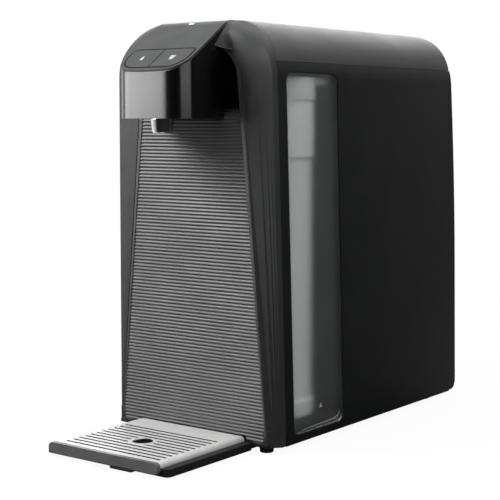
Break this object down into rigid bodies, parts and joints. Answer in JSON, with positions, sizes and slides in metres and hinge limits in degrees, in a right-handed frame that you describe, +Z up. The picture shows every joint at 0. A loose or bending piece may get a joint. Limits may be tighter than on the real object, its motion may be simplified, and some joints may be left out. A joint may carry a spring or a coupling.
{
  "type": "countertop water purifier",
  "caption": "Slim countertop water purifier with a ribbed front panel, sloped two-button head, spout nozzle, smoked side filter door, rear tank and sliding drip tray.",
  "frame": {"origin": "centre of the footprint, drip tray drawn out, on the surface that the feet stand on", "axes": "+X to the machine's right as seen by its user, +Y from the nozzle towards the rear cover, +Z up"},
  "size_m": [0.204, 0.4754, 0.405],
  "materials": {
    "shell": "fine matt moulded texture",
    "panel": "satin, ribbed",
    "head_gloss": "high gloss",
    "plate": "satin",
    "base": "matt",
    "trim": "satin",
    "rubber": "matt",
    "smoke": "smoked, lightly frosted",
    "lens": "clear, lit",
    "board": "solder mask",
    "chrome": "bright, dark tinted",
    "steel": "brushed",
    "white": "semi-gloss",
    "tank": "clear moulded plastic",
    "works": "matt",
    "hose": "smooth"
  },
  "bodies": {
    "body": {"front_bezel": "shell", "left_side_panel": "shell", "right_side_panel": "shell", "rear_cover": "shell", "front_panel": "panel", "head_shell": "head_gloss", "control_plate": "plate", "base_pan": "base", "power_inlet": "base", "mid_frame": "base", "rubber_feet": "rubber", "nozzle_insert": "rubber", "indicator_lens": "lens", "control_board": "board", "nozzle_sleeve": "chrome", "pump_bracket": "steel", "pump_motor": "steel", "rear_screws": "steel", "filter_manifold": "white", "dispense_valve": "white", "pump_head": "works", "power_supply": "works", "suction_hose": "hose", "feed_hose": "hose", "outlet_hose": "hose"},
    "left_button": {"left_button": "plate"},
    "right_button": {"right_button": "plate"},
    "tray": {"drip_tray": "base", "tray_front_bar": "trim", "tray_foot": "rubber"},
    "grille": {"drip_grille": "steel"},
    "tank": {"water_tank": "tank", "tank_valve": "white"},
    "cover": {"top_cover": "shell"},
    "door": {"filter_door": "smoke"},
    "prefilter": {"prefilter_cartridge": "white", "prefilter_seal": "rubber"},
    "membrane": {"membrane_cartridge": "white", "membrane_seal": "rubber"}
  },
  "joints": [
    {"name": "left_button_press", "type": "slide", "parent": "body", "child": "left_button", "axis": [0, 0.5664, -0.8241], "range_m": [0, 0.001], "stiffness_N_per_m": 1000},
    {"name": "right_button_press", "type": "slide", "parent": "body", "child": "right_button", "axis": [0, 0.5664, -0.8241], "range_m": [0, 0.001], "stiffness_N_per_m": 1000},
    {"name": "tray_slide", "type": "slide", "parent": "body", "child": "tray", "axis": [0, -1, 0], "range_m": [-0.095, 0]},
    {"name": "grille_lift", "type": "slide", "parent": "tray", "child": "grille", "axis": [0, 0, 1], "range_m": [0, 0.06]},
    {"name": "tank_lift", "type": "slide", "parent": "body", "child": "tank", "axis": [0, 0, 1], "range_m": [0, 0.3]},
    {"name": "cover_lift", "type": "slide", "parent": "tank", "child": "cover", "axis": [0, 0, 1], "range_m": [0, 0.12]},
    {"name": "door_pull", "type": "slide", "parent": "body", "child": "door", "axis": [1, 0, 0], "range_m": [0, 0.06]},
    {"name": "prefilter_twist", "type": "hinge", "parent": "body", "child": "prefilter", "pos_m": [0.05619, -0.04575, 0.3], "axis": [0, 0, 1], "range_deg": [0, 90]},
    {"name": "membrane_twist", "type": "hinge", "parent": "body", "child": "membrane", "pos_m": [-0.01776, -0.04575, 0.3], "axis": [0, 0, 1], "range_deg": [0, 90]}
  ]
}
